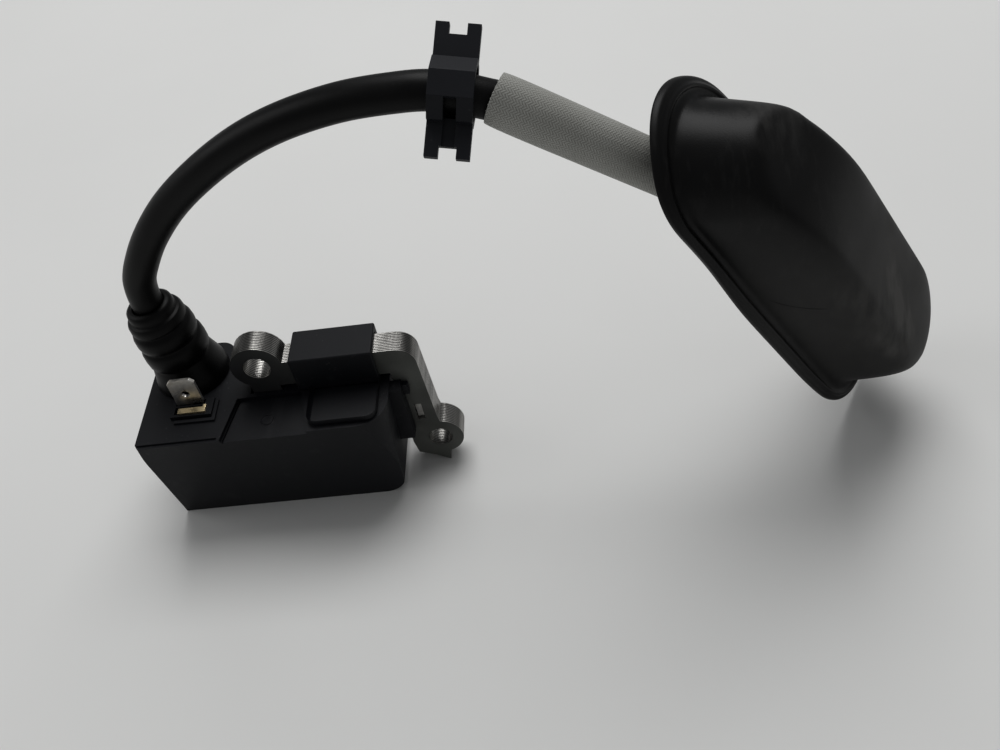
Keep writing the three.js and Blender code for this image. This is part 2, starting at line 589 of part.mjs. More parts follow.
const GUIDE_CENTRE = new THREE.Vector3(85.5, 7.28, 73.52);
const guideAlong = new THREE.Vector3(0.975, -0.08, -0.2).normalize();
const guideUp = new THREE.Vector3(0.1, 0.745, 0.66);
guideUp.addScaledVector(guideAlong, -guideUp.dot(guideAlong)).normalize();
const guideDeep = new THREE.Vector3().crossVectors(guideUp, guideAlong).normalize();

// Local axes: x along the lead, y through the plate, z along its height.
function wireGuide() {
  const half = GUIDE_LENGTH / 2;
  const plateHalf = GUIDE_PLATE / 2;
  const hub = GUIDE_BORE + GUIDE_WALL;
  const hubCorner = hub / Math.cos(Math.PI / 8);
  const hubFlat = hub * Math.tan(Math.PI / 8);
  const octagon = new THREE.CylinderGeometry(hubCorner, hubCorner, GUIDE_LENGTH, 8, 1, false, Math.PI / 8);
  const tunnel = new THREE.CylinderGeometry(GUIDE_BORE, GUIDE_BORE, GUIDE_LENGTH + 2, 24);
  const plate = boxSolid(-half, half, -plateHalf, plateHalf, -GUIDE_BELOW, GUIDE_ABOVE);
  const notches = [
    [GUIDE_ABOVE - GUIDE_NOTCH_DEPTH, GUIDE_ABOVE + 1],
    [-GUIDE_BELOW - 1, -GUIDE_BELOW + GUIDE_NOTCH_DEPTH],
  ].map(([z0, z1]) => boxSolid(-GUIDE_NOTCH / 2, GUIDE_NOTCH / 2, -hub, hub, z0, z1));
  const channel = boxSolid(
    -GUIDE_CHANNEL / 2, GUIDE_CHANNEL / 2,
    -hubCorner - 1, GUIDE_CHANNEL_DEPTH - plateHalf,
    -GUIDE_BELOW - 1, -hubFlat,
  );
  const body = plate.add(toSolid(octagon.rotateZ(Math.PI / 2)));
  return toGeometry(cut(body, ...notches, channel, toSolid(tunnel.rotateZ(Math.PI / 2))));
}
const guide = new THREE.Group();
guide.position.copy(GUIDE_CENTRE);
guide.setRotationFromMatrix(new THREE.Matrix4().makeBasis(guideAlong, guideDeep, guideUp));
module.add(guide);
add('wire_guide', wireGuide(), BLACK_NYLON, guide);

// ---- heat sleeve on the lead's straight run -----------------------------------------------------

const RUN_START = new THREE.Vector3(94.6, 8.06, 69.06);
const RUN_END = LEAD_ROUTE[LEAD_ROUTE.length - 1];
const runAlong = RUN_END.clone().sub(RUN_START).normalize();
const SLEEVE_BACKSET = 3.2; // how far the sleeve's mouth reaches back over the bend

function heatSleeve() {
  const ring = roundSection(SLEEVE_RADIUS, 20);
  ring.holes.push(roundSection(SLEEVE_RADIUS - SLEEVE_WALL, 20));
  const from = RUN_START.clone().addScaledVector(runAlong, -SLEEVE_BACKSET);
  const to = from.clone().addScaledVector(runAlong, SLEEVE_LENGTH);
  return new THREE.ExtrudeGeometry(ring, {
    steps: 1, bevelEnabled: false, extrudePath: new THREE.LineCurve3(from, to),
  });
}
add('heat_sleeve', heatSleeve(), GLASS_FIBRE);

// ---- plug cover, connector and contact spring ---------------------------------------------------

// The cover's own axes: u along its length, v across, d from its open face to its closed end.
const COVER_CENTRE = new THREE.Vector3(142, 19.5, 17.1);
const coverU = new THREE.Vector3(0.44, 0.188, -0.878).normalize();
const coverV = new THREE.Vector3(0.341, 0.87, 0.357);
coverV.addScaledVector(coverU, -coverV.dot(coverU)).normalize();
const coverD = new THREE.Vector3().crossVectors(coverU, coverV).normalize();

const plug = new THREE.Group();
plug.position.copy(COVER_CENTRE);
plug.setRotationFromMatrix(new THREE.Matrix4().makeBasis(coverU, coverV, coverD));
module.add(plug);

// Half length of the straight sides at depth d: the lower end rounds off towards the closed end.
const NOSE_START = 12;
const NOSE_DROP = 13;
const HEAD_DROP = 2.5;
const BODY_SHORTER = 1.5; // the cup is this much shorter than its flange, at the lower end
function straightAt(d, side) {
  const along = THREE.MathUtils.clamp((d - NOSE_START) / (COVER_DEPTH - NOSE_START), 0, 1);
  const rounding = 1 - (1 - along ** 2.5) ** (1 / 2.5);
  if (side < 0) return COVER_STRAIGHT - HEAD_DROP * rounding;
  return COVER_STRAIGHT - NOSE_DROP * rounding - (d > COVER_FLANGE_THICKNESS + 1 ? BODY_SHORTER : 0);
}

// Moulded shape that the straight cup lacks: a shallower head, and a flange that turns out at its ends.
const HEAD_SLOPE_START = 16;
const HEAD_SLOPE_LENGTH = 26;
const HEAD_SHALLOWER = 0.3;
function mould(u, v, d) {
  const { clamp, smoothstep } = THREE.MathUtils;
  const head = smoothstep((-HEAD_SLOPE_START - u) / HEAD_SLOPE_LENGTH, 0, 1);
  const sloped = d - HEAD_SHALLOWER * head * Math.max(d - COVER_FLANGE_THICKNESS, 0);
  const headTurn = clamp((-20 - u) / 30, 0, 1) * clamp(1 - d / 8, 0, 1);
  const noseTurn = clamp((u - 25) / 25, 0, 1) * clamp(1 - d / 6, 0, 1);
  const farSide = clamp((v + 8) / 23, 0, 1);
  const waist = clamp(1 - Math.abs(u + 28) / 22, 0, 1) * clamp(-v / 17, 0, 1) * clamp(1 - d / 6, 0, 1);
  return [
    u - 3 * headTurn + 2 * noseTurn,
    v - farSide * headTurn + 1.5 * noseTurn + 1.8 * smoothstep(waist, 0, 1),
    sloped - 3 * farSide * headTurn + 0.5 * noseTurn,
  ];
}

// Steps round the cup: the round ends, and the straight sides between them. t is 1 at the lower end.
function coverRing() {
  const [ends, runs] = [16, 8];
  const ring = [];
  for (const end of [1, -1]) {
    const start = end > 0 ? -Math.PI / 2 : Math.PI / 2;
    for (let i = 0; i <= ends; i += 1) {
      const angle = start + (Math.PI * i) / ends;
      ring.push({ along: Math.cos(angle), across: Math.sin(angle), t: end });
    }
    for (let i = 1; i < runs; i += 1) {
      ring.push({ along: 0, across: end, t: end * (1 - (2 * i) / runs) });
    }
  }
  return ring;
}

// A cup with the half profile [distance from the cover's middle line, depth], carried round the ring.
function plugCover() {
  const wall = PLUG_WALL;
  const rim = COVER_FLANGE_HALF_WIDTH;
  const edge = COVER_FLANGE_THICKNESS;
  const depth = COVER_DEPTH;
  const outer = [
    [rim - 0.3, 0], [rim, 0.4], [rim, edge - 0.7], [rim - 0.4, edge - 0.3], [rim - 1.1, edge - 0.2],
    [rim - 1.4, edge + 0.5], [rim - 2, edge + 0.5], [rim - 2.3, edge], [14.3, edge], [13.5, edge + 0.5],
    [13.2, edge + 1.4], [12.2, depth / 2], [11.3, depth - 5], [10.9, depth - 2.4], [10.3, depth - 1],
    [9.4, depth - 0.3], [8.2, depth], [0, depth],
  ];
  const inner = [
    [0, depth - wall], [7.2, depth - wall], [8.2, depth - wall - 0.9], [11.3 - wall, depth - 5],
    [12.2 - wall, depth / 2], [13.2 - wall, 0.5], [13.5 - wall, 0],
  ];
  const ring = coverRing();
  const rows = [...inner, ...outer].map(([r, d]) => ring.map(({ along, across, t }) => {
    const middle = t * straightAt(d, t);
    return mould(middle + r * along, r * across, d);
  }));
  const corners = [];
  const same = (a, b) => a.every((value, i) => Math.abs(value - b[i]) < 1e-5);
  const face = (a, b, c) => {
    if (!same(a, b) && !same(b, c) && !same(c, a)) corners.push(...a, ...b, ...c);
  };
  rows.slice(0, -1).forEach((row, i) => {
    const next = rows[i + 1];
    row.forEach((point, j) => {
      const k = (j + 1) % ring.length;
      face(point, row[k], next[k]);
      face(point, next[k], next[j]);
    });
  });
  const geometry = new THREE.BufferGeometry();
  geometry.setAttribute('position', new THREE.Float32BufferAttribute(corners, 3));
  return toGeometry(toSolid(geometry));
}
add('plug_cover', plugCover(), BLACK_RUBBER, plug);

// The connector: an upright tube for the spark plug with a side socket for the lead.
const toPlug = new THREE.Matrix4().makeBasis(coverU, coverV, coverD).setPosition(COVER_CENTRE).invert();
const socketFrom = RUN_END.clone().addScaledVector(runAlong, -7).applyMatrix4(toPlug);
const leadEnd = RUN_END.clone().applyMatrix4(toPlug);
const socketAlong = leadEnd.clone().sub(socketFrom).normalize();
const CONNECTOR_U = -1.5;
const CONNECTOR_V = 0.4;
const CONNECTOR_BASE = COVER_DEPTH - PLUG_WALL - GAP;
const CONNECTOR_SHOULDER = CONNECTOR_BASE - 2.2;
const CONNECTOR_END = CONNECTOR_SHOULDER - 1.2;

function plugConnector() {
  const post = (radius, d0, d1) => toSolid(postGeometry(radius, CONNECTOR_U, CONNECTOR_V, d0, d1, 28));
  const tower = post(CONNECTOR_RADIUS, CONNECTOR_TOP, CONNECTOR_SHOULDER);
  const neck = post(CONNECTOR_RADIUS - 2, CONNECTOR_SHOULDER - 1, CONNECTOR_BASE);
  const bore = post(CONNECTOR_BORE, CONNECTOR_TOP - 1, CONNECTOR_END);
  const tube = (radius, from, to) => toSolid(new THREE.ExtrudeGeometry(roundSection(radius, 20), {
    steps: 1, bevelEnabled: false, extrudePath: new THREE.LineCurve3(from, to),
  }));
  const socketTo = leadEnd.clone().addScaledVector(socketAlong, 5);
  const outside = tube(SOCKET_RADIUS, socketFrom, socketTo);
  const beyond = socketFrom.clone().addScaledVector(socketAlong, -1);
  const bottom = leadEnd.clone().addScaledVector(socketAlong, GAP);
  const inside = tube(LEAD_RADIUS + LEAD_CLEARANCE, beyond, bottom);
  return toGeometry(cut(join(tower, neck, outside), bore, inside));
}
add('plug_connector', plugConnector(), BLACK_RUBBER, plug);

// Coil spring that snaps over the plug's terminal nut.
class ContactHelix extends THREE.Curve {
  getPoint(t, target = new THREE.Vector3()) {
    const angle = 2 * Math.PI * SPRING.turns * t;
    const d = CONNECTOR_END - GAP - SPRING.wire - t * SPRING.turns * SPRING.pitch;
    return target.set(
      CONNECTOR_U + SPRING.radius * Math.cos(angle), CONNECTOR_V + SPRING.radius * Math.sin(angle), d,
    );
  }
}
const SPRING = { turns: 3, pitch: 1.7, radius: 3.7, wire: 0.5 };
add('contact_spring', new THREE.ExtrudeGeometry(roundSection(SPRING.wire, 8), {
  steps: 48, bevelEnabled: false, extrudePath: new ContactHelix(),
}), TINNED, plug);

export default module;
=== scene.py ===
import math

import bpy
from mathutils import Matrix, Vector


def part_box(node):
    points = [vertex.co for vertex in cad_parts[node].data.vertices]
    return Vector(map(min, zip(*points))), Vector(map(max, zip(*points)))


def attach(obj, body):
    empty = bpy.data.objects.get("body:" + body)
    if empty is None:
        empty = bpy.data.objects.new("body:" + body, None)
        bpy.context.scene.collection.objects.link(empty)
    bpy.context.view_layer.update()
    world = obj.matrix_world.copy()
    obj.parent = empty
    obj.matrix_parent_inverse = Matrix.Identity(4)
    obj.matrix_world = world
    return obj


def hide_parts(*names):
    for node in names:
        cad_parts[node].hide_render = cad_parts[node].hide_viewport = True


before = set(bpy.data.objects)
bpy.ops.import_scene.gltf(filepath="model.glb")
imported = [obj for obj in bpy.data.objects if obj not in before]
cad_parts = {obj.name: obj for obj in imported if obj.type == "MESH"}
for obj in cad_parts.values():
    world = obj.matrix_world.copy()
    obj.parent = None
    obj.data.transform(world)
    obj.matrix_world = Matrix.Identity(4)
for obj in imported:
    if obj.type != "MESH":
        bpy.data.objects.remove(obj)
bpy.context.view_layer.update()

# Camera, above and in front of the coil on its bench, looking down at the top and front faces.
bench_camera = bpy.data.objects.new("bench_camera", bpy.data.cameras.new("bench_camera"))
bench_camera.data.lens = 39.6
bench_camera.data.sensor_width = 36
bench_camera.data.clip_start = 0.01
bench_camera.matrix_world = Matrix((
    (0.9878, 0.1060, 0.1140, 0.0745),
    (0.0007, 0.7292, -0.6843, -0.1697),
    (-0.1556, 0.6760, 0.7203, 0.20385),
    (0, 0, 0, 1),
))
bpy.context.scene.collection.objects.link(bench_camera)
bpy.context.scene.camera = bench_camera


# High-tension lead: 7 mm silicone-rubber cable, extruded round a stranded core. It leaves the strain
# relief upwards, arches over and runs down into the plug cover.
def on_coil(x, y, z):
    """A point given in millimetres from the housing's front left top corner, in the row frame."""
    return Vector((x - 34.9, y - 15.5, z + 30.35)) / 1000


def smooth_line(points, steps):
    """Centripetal line through the points, with this many steps between each two."""
    points = [2 * points[0] - points[1], *points, 2 * points[-1] - points[-2]]
    line = []
    for p0, p1, p2, p3 in zip(points, points[1:], points[2:], points[3:]):
        d0, d1, d2 = (max((b - a).length ** 0.5, 1e-6) for a, b in ((p0, p1), (p1, p2), (p2, p3)))
        t1 = ((p1 - p0) / d0 - (p2 - p0) / (d0 + d1) + (p2 - p1) / d1) * d1
        t2 = ((p2 - p1) / d1 - (p3 - p1) / (d1 + d2) + (p3 - p2) / d2) * d1
        for step in range(steps):
            t = step / steps
            line.append(
                p1 + t1 * t + (3 * (p2 - p1) - 2 * t1 - t2) * t**2 + (2 * (p1 - p2) + t1 + t2) * t**3
            )
    return [*line, points[-2]]


class Shade:
    """One output of a finish's nodes. Arithmetic on it adds Math nodes."""

    def __init__(self, finish, socket):
        self.finish, self.socket = finish, socket

    def math(self, operation, first, second):
        return self.finish.node("ShaderNodeMath", {"operation": operation}, {0: first, 1: second})

    def __add__(self, other):
        return self.math("ADD", self, other)

    def __sub__(self, other):
        return self.math("SUBTRACT", self, other)

    def __rsub__(self, other):
        return self.math("SUBTRACT", other, self)

    def __mul__(self, other):
        return self.math("MULTIPLY", self, other)

    __radd__ = __add__
    __rmul__ = __mul__


class Finish:
    """A material, built node by node on its surface shader. Fixed values sit on the shader's sockets."""

    def __init__(self, name, **fixed):
        self.material = bpy.data.materials.new(name)
        self.material.use_nodes = True
        self.tree = self.material.node_tree
        self.surface = self.tree.nodes["Principled BSDF"]
        for name_of, value in fixed.items():
            self.socket(name_of).default_value = value
        self.place = self.node("ShaderNodeTexCoord", out="Object")

    def node(self, kind, settings=None, sockets=None, out=0):
        made = self.tree.nodes.new(kind)
        for key, value in (settings or {}).items():
            setattr(made, key, value)
        for key, value in (sockets or {}).items():
            if isinstance(value, Shade):
                self.tree.links.new(value.socket, made.inputs[key])
            else:
                made.inputs[key].default_value = value
        return Shade(self, made.outputs[out])

    def noise(self, scale, detail=3, stretch=None, place=None):
        place = place or self.place
        if stretch:
            place = self.node("ShaderNodeMapping", sockets={"Vector": place, "Scale": stretch})
        return self.node("ShaderNodeTexNoise", sockets={"Vector": place, "Scale": scale, "Detail": detail})

    def ramp(self, value, start, end, low=0.0, high=1.0):
        sockets = {"Value": value, "From Min": start, "From Max": end, "To Min": low, "To Max": high}
        return self.node("ShaderNodeMapRange", sockets=sockets)

    def near(self, place, reach, stretch=(1, 1, 1)):
        """1 at a place on the piece, fading to 0 at this reach."""
        back = tuple(-a * b for a, b in zip(place, stretch))
        sockets = {"Vector": self.place, "Location": back, "Scale": stretch}
        moved = self.node("ShaderNodeMapping", sockets=sockets)
        distance = self.node("ShaderNodeVectorMath", {"operation": "LENGTH"}, {0: moved}, out=1)
        return self.ramp(distance, reach, 0)

    def mix(self, share, first, second):
        first, second = (c if isinstance(c, Shade) else (*c, 1) for c in (first, second))
        return self.node("ShaderNodeMix", {"data_type": "RGBA"}, {0: share, 6: first, 7: second}, out=2)

    def socket(self, name):
        return self.surface.inputs[name.replace("_", " ").title().replace("Ior", "IOR")]

    def set(self, **varying):
        for name, value in varying.items():
            self.tree.links.new(value.socket, self.socket(name))
        return self

    def relief(self, height, depth):
        """Fine relief of this depth, in metres."""
        sockets = {"Height": height, "Strength": 1.0, "Distance": depth}
        return self.set(normal=self.node("ShaderNodeBump", sockets=sockets))


def rubber(name, colour, dust_colour, dust, shine=0.46):
    """Moulded or extruded rubber: matt, with a fine skin, cloudy patches and a little dust."""
    finish = Finish(name, specular_ior_level=0.16)
    cloud = finish.noise(70, 5)
    skin = finish.noise(5200, 3)
    specks = finish.ramp(finish.noise(1500, 2), 0.66, 0.74)
    dusty = finish.ramp(cloud, 0.42, 0.8) * dust + specks * (dust * 0.5)
    finish.set(
        base_color=finish.mix(dusty, colour, dust_colour),
        roughness=finish.ramp(cloud, 0.3, 0.7, shine, shine + 0.12) + specks * 0.2,
    )
    finish.relief(skin + cloud * 0.6, 0.00002)
    return finish


LEAD_DIAMETER = 0.007
LEAD_EXIT = (7.6, 21.8, 24)
route = [on_coil(*point) for point in (
    (9.07, 22, 6), (8.44, 22, 12), (7.81, 22, 18), LEAD_EXIT,
    (8.8, 21.2, 30), (12.1, 20.3, 36), (17.2, 19.6, 43), (25.2, 18.5, 51.2),
    (38.9, 16, 61.4), (51, 13.5, 67.9), (64.7, 10.8, 72.4), (75.4, 8.8, 74),
    (81, 7.9, 74.2), (86, 7.2, 73.4), (90.4, 7.2, 71.6), (94.6, 8.06, 69.06),
    (103.2, 9.67, 61.82), (111.8, 11.28, 54.58), (120.4, 12.9, 47.33), (129, 14.51, 40.09),
    (137.6, 16.12, 32.85), (141.9, 16.93, 29.23),
)]
lead_line = smooth_line(route, 8)
line_data = bpy.data.curves.new("high_tension_lead", "CURVE")
line_data.dimensions = "3D"
line_data.bevel_depth = LEAD_DIAMETER / 2
line_data.bevel_resolution = 10
line_data.use_fill_caps = True
spline = line_data.splines.new("POLY")
spline.points.add(len(lead_line) - 1)
for point, place in zip(spline.points, lead_line):
    point.co = (*place, 1)
lead = bpy.data.objects.new("high_tension_lead", line_data)
bpy.context.scene.collection.objects.link(lead)


def only(piece):
    """Selects this piece alone."""
    bpy.ops.object.select_all(action="DESELECT")
    piece.select_set(True)
    bpy.context.view_layer.objects.active = piece


def finished(piece, finish, body, node, smooth=35):
    """Gives a piece its shading, finish and body, and hides the CAD node that it stands for."""
    only(piece)
    bpy.ops.object.shade_smooth_by_angle(angle=math.radians(smooth))
    piece.data.materials.clear()
    piece.data.materials.append(finish.material)
    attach(piece, body)
    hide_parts(node)


only(lead)
bpy.ops.object.convert(target="MESH")
lead = bpy.context.object
lead_rubber = rubber("lead_jacket", (0.002, 0.002, 0.0022), (0.02, 0.02, 0.02), 0.2, 0.36)
finished(lead, lead_rubber, "module", "ignition_lead", smooth=40)


# Housing: one moulding in black glass-filled nylon with a spark-eroded skin. Its top carries a raised
# terminal plateau, a recessed middle zone and a raised pad; the core passes through a slot.
def nylon(name, grain=0.00003, shade=1.5):
    """Black glass-filled nylon: fine grain, greyish sheen on the flats, a few pale rubs and specks."""
    finish = Finish(name, specular_ior_level=0.2)
    grains = finish.noise(6500, 3)
    cloud = finish.noise(45, 4)
    rubs = finish.ramp(finish.noise(260, 6, (1, 0.12, 1)), 0.62, 0.75)
    specks = finish.ramp(finish.noise(1300, 1), 0.73, 0.78)
    finish.set(
        base_color=finish.mix(
            rubs * 0.12 + specks * 0.3,
            finish.mix(
                cloud,
                tuple(part * shade for part in (0.0028, 0.003, 0.0039)),
                tuple(part * shade for part in (0.0055, 0.006, 0.0078)),
            ),
            (0.07, 0.07, 0.07),
        ),
        roughness=finish.ramp(cloud, 0.3, 0.7, 0.42, 0.52) + grains * 0.08,
    )
    finish.relief(grains + cloud * 0.4, grain)
    return finish


def copied(node, name):
    """A copy of a CAD node's mesh, merged, with its flat faces in one piece."""
    piece = bpy.data.objects.new(name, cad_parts[node].data.copy())
    bpy.context.scene.collection.objects.link(piece)
    only(piece)
    bpy.ops.object.mode_set(mode="EDIT")
    bpy.ops.mesh.select_all(action="SELECT")
    bpy.ops.mesh.remove_doubles(threshold=2e-6)
    bpy.ops.mesh.dissolve_limited(angle_limit=math.radians(0.6))
    bpy.ops.object.mode_set(mode="OBJECT")
    return piece


def applied(piece, kind, **settings):
    """Adds a modifier to a piece and applies it."""
    only(piece)
    modifier = piece.modifiers.new(kind.title(), kind)
    for key, value in settings.items():
        setattr(modifier, key, value)
    bpy.ops.object.modifier_apply(modifier=modifier.name)
    return piece


def rounded(piece, width, segments=2, angle=32):
    """Rounds a piece's sharp edges and evens out its shading."""
    applied(
        piece, "BEVEL", width=width, segments=segments, limit_method="ANGLE",
        angle_limit=math.radians(angle), use_clamp_overlap=True, miter_outer="MITER_ARC",
    )
    only(piece)
    bpy.ops.object.shade_smooth_by_angle(angle=math.radians(35))
    return applied(piece, "WEIGHTED_NORMAL", keep_sharp=True, weight=60)


def block(x0, x1, y0, y1, z0, z1):
    """A block between these sides, in millimetres from the housing's corner."""
    centre = on_coil((x0 + x1) / 2, (y0 + y1) / 2, (z0 + z1) / 2)
    size = ((x1 - x0) / 1000, (y1 - y0) / 1000, (z1 - z0) / 1000)
    bpy.ops.object.select_all(action="DESELECT")
    bpy.ops.mesh.primitive_cube_add(size=1, location=centre, scale=size)
    piece = bpy.context.object
    bpy.ops.object.transform_apply(location=True, rotation=True, scale=True)
    return piece


def combined(piece, tool, operation="DIFFERENCE"):
    """Cuts a tool out of a piece, or joins it on."""
    applied(piece, "BOOLEAN", object=tool, operation=operation, solver="EXACT")
    bpy.data.objects.remove(tool)
    return piece


def upright_corners(tool, radius, segments=5):
    """Rounds the upright edges of a block."""
    only(tool)
    bpy.ops.object.mode_set(mode="EDIT")
    bpy.ops.mesh.select_all(action="DESELECT")
    bpy.ops.object.mode_set(mode="OBJECT")
    for edge in tool.data.edges:
        a, b = (tool.data.vertices[i].co for i in edge.vertices)
        edge.select = abs(a.z - b.z) > 0.9 * (a - b).length
    bpy.ops.object.mode_set(mode="EDIT")
    bpy.ops.mesh.bevel(offset=radius, segments=segments)
    bpy.ops.object.mode_set(mode="OBJECT")
    return tool


housing = copied("coil_housing", "coil_housing_moulding")
# Raised pad on the right of the top, with a groove along its sides and front. It runs back to the core.
for inset, low, high, operation in ((0, -0.55, 0.5, "DIFFERENCE"), (0.45, -0.8, 0.02, "UNION")):
    pad = block(38.9 + inset, 55.4 - inset, 0.9 + inset, 17, low, high)
    combined(housing, upright_corners(pad, (2.8 - inset) / 1000, 8), operation)
# Slanted groove along the right of the terminal plateau.
GROOVE_LEFT = 19.8
GROOVE_WIDTH = 0.5
GROOVE_LEAN = math.atan(0.18)
groove = block(GROOVE_LEFT, GROOVE_LEFT + GROOVE_WIDTH, -1, 12.2, -1.5, 0.2)
only(groove)
bpy.ops.object.mode_set(mode="EDIT")
bpy.ops.mesh.select_all(action="SELECT")
bpy.ops.transform.rotate(
    value=GROOVE_LEAN, orient_axis="Z", center_override=on_coil(GROOVE_LEFT, 0, 0),
)
bpy.ops.object.mode_set(mode="OBJECT")
combined(housing, groove)
# Raised lip on two sides of the terminal strip.
for x0, x1, y0, y1 in ((8.2, 17.7, 5.9, 6.7), (16.9, 17.7, 5.9, 12.0)):
    combined(housing, block(x0, x1, y0, y1, -0.5, 0.55), "UNION")
# Lip along the front of the terminal plateau, set back from the front face.
combined(housing, block(-2, 18.9, -2, 0.9, -0.45, 0.5))
# Plain round ejector mark in the middle zone.
bpy.ops.object.select_all(action="DESELECT")
bpy.ops.mesh.primitive_torus_add(
    location=on_coil(29.6, 5.4, -1), major_radius=0.0014, minor_radius=0.0002,
    major_segments=40, minor_segments=8,
)
combined(housing, bpy.context.object)
HOUSING_EDGE = 0.00028
rounded(housing, HOUSING_EDGE)
finished(housing, nylon("housing_nylon"), "module", "coil_housing", smooth=40)

# Potting resin: black epoxy poured into the housing's open back and cured, so its edges creep up the
# walls and its face sags slightly in the middle.
resin = Finish("potting_resin", specular_ior_level=0.5)
pour = resin.noise(120, 4)
resin.set(
    base_color=resin.mix(resin.ramp(pour, 0.4, 0.7), (0.006, 0.006, 0.007), (0.016, 0.016, 0.018)),
    roughness=resin.ramp(pour, 0.3, 0.7, 0.16, 0.34),
)
resin.relief(pour + resin.noise(700, 2) * 0.3, 0.00012)
POUR_CREEP = 0.0004
POUR_CREEP_REACH = 0.0008
POUR_SAG = 0.00035
POUR_DEPTH = 0.0007
low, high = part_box("potting_resin")
centre = (low + high) / 2
bpy.ops.object.select_all(action="DESELECT")
bpy.ops.mesh.primitive_grid_add(x_subdivisions=60, y_subdivisions=34, size=1)
potting = bpy.context.object
potting.name = "potting_resin_pour"
potting.location = (centre.x, high.y, centre.z)
potting.rotation_euler = (-math.pi / 2, 0, 0)
potting.scale = (high.x - low.x, high.z - low.z, 1)
bpy.ops.object.transform_apply(location=True, rotation=True, scale=True)
for vertex in potting.data.vertices:
    place = vertex.co
    edge = min(place.x - low.x, high.x - place.x, place.z - low.z, high.z - place.z)
    place.y += POUR_CREEP * math.exp(-edge / POUR_CREEP_REACH) - POUR_SAG
only(potting)
bpy.ops.object.mode_set(mode="EDIT")
bpy.ops.mesh.select_all(action="SELECT")
bpy.ops.mesh.extrude_region_move(TRANSFORM_OT_translate={"value": (0, -POUR_DEPTH, 0)})
bpy.ops.mesh.select_all(action="SELECT")
bpy.ops.mesh.normals_make_consistent(inside=False)
bpy.ops.object.mode_set(mode="OBJECT")
finished(potting, resin, "module", "potting_resin", smooth=50)

# Yoke cover: black nylon channel that clips over the core's yoke.
yoke_cover = rounded(copied("yoke_cover", "yoke_cover_channel"), 0.0004, 4)
finished(yoke_cover, nylon("yoke_cover_nylon"), "module", "yoke_cover")

# Core: twelve punched silicon-steel laminations, varnished dark on their faces and bright where the
# punch sheared them. Two staked slots hold the stack together.
LAMINATIONS = 12
LAMINATION_PITCH = 0.0005
core = Finish("core_steel", specular_ior_level=0.5)
turn = core.node("ShaderNodeNewGeometry", out="Normal")
across = core.node("ShaderNodeSeparateXYZ", sockets={0: turn}, out="Y")
face = core.ramp(across * across, 0.55, 0.9)
varnish = core.noise(90, 5)
grit = core.noise(2600, 3)
shear = core.noise(380, 4, (1, 0.1, 1))
# Painted shade: the plates' faces round the left ear are darkened, where the light leaves that ear dark.
left_ear_shade_reach = core.near(on_coil(24, 13, 6), 0.016)
painted_ear_shade = left_ear_shade_reach.math("POWER", left_ear_shade_reach, 0.35)
# The punch leaves each plate's edge bright on one side and torn dark on the other.
depth = core.node("ShaderNodeSeparateXYZ", sockets={0: core.place}, out="Y")
plates = (depth - on_coil(0, 13.4, 0).y) * (1 / LAMINATION_PITCH)
through = plates.math("FRACT", plates, 0)
torn = core.ramp(through, 0.5, 0.85) + core.ramp(through, 0.16, 0.04)
bright = core.mix(core.ramp(shear, 0.35, 0.7), (0.17, 0.167, 0.16), (0.5, 0.49, 0.47))
sheared = core.mix(torn, bright, (0.035, 0.035, 0.033))
varnished = core.mix(core.ramp(varnish, 0.35, 0.7), (0.07, 0.072, 0.066), (0.12, 0.124, 0.114))
# The varnished faces carry painted shade near the left ear.
core.set(
    base_color=core.mix(face, sheared, core.mix(painted_ear_shade, varnished, (0.01, 0.01, 0.012))),
    metallic=core.ramp(face, 0, 1, 1.0, 0.4),
    roughness=core.ramp(face, 0, 1, 0.25, 0.42) + grit * 0.08 + torn * 0.2,
)
core.relief(grit * 0.6 + shear * 0.5 - torn * 0.6, 0.00001)
PLATE_EDGE = 0.00006
for number in range(1, LAMINATIONS + 1):
    plate = copied(f"lamination_{number:02d}", f"core_plate_{number:02d}")
    applied(
        plate, "BEVEL", width=PLATE_EDGE, segments=1, limit_method="ANGLE", angle_limit=math.radians(40),
    )
    finished(plate, core, "module", f"lamination_{number:02d}", smooth=30)
swaged = Finish("swaged_stake", metallic=1.0)
hammered = swaged.noise(900, 4)
swaged.set(
    base_color=swaged.mix(hammered, (0.12, 0.12, 0.115), (0.5, 0.49, 0.47)),
    roughness=swaged.ramp(hammered, 0.3, 0.7, 0.28, 0.45),
)
swaged.relief(hammered, 0.00003)
for stake in ("core_stake_leg", "core_stake_yoke"):
    tab = rounded(copied(stake, f"{stake}_tab"), 0.00012, 2)
    finished(tab, swaged, "module", stake)

# Spade terminal: stamped and tinned 6.3 mm blade, with dull tin streaks, and the brass strip that is
# folded over in front of its foot.
tin = Finish("tinned_blade", metallic=1.0)
streak = tin.noise(420, 5, (1, 1, 0.35))
stain = tin.ramp(tin.noise(330, 5), 0.5, 0.72)
tin.set(
    base_color=tin.mix(
        stain, tin.mix(streak, (0.7, 0.68, 0.64), (0.9, 0.88, 0.84)), (0.52, 0.49, 0.44)
    ),
    roughness=tin.ramp(streak, 0.3, 0.7, 0.24, 0.4) + stain * 0.15,
)
tin.relief(streak + tin.noise(3000, 2) * 0.4, 0.00002)
blade = rounded(copied("spade_terminal", "spade_blade"), 0.00014, 3)
finished(blade, tin, "module", "spade_terminal")

brass = Finish("brass_strip", metallic=1.0)
draw = brass.noise(500, 4, (0.2, 1, 1))
brass.set(
    base_color=brass.mix(draw, (0.78, 0.62, 0.36), (0.92, 0.81, 0.57)),
    roughness=brass.ramp(draw, 0.3, 0.7, 0.22, 0.38),
)
brass.relief(draw, 0.00001)
strip = copied("terminal_strip", "terminal_strip_fold")
combined(strip, block(14.0, 14.68, 9.6, 10.6, 0.4, 1.5), "UNION")
STRIP_SHIFT = (0.0007, -0.0005, 0)
strip.data.transform(Matrix.Translation(STRIP_SHIFT))
rounded(strip, 0.00038, 5)
finished(strip, brass, "module", "terminal_strip")

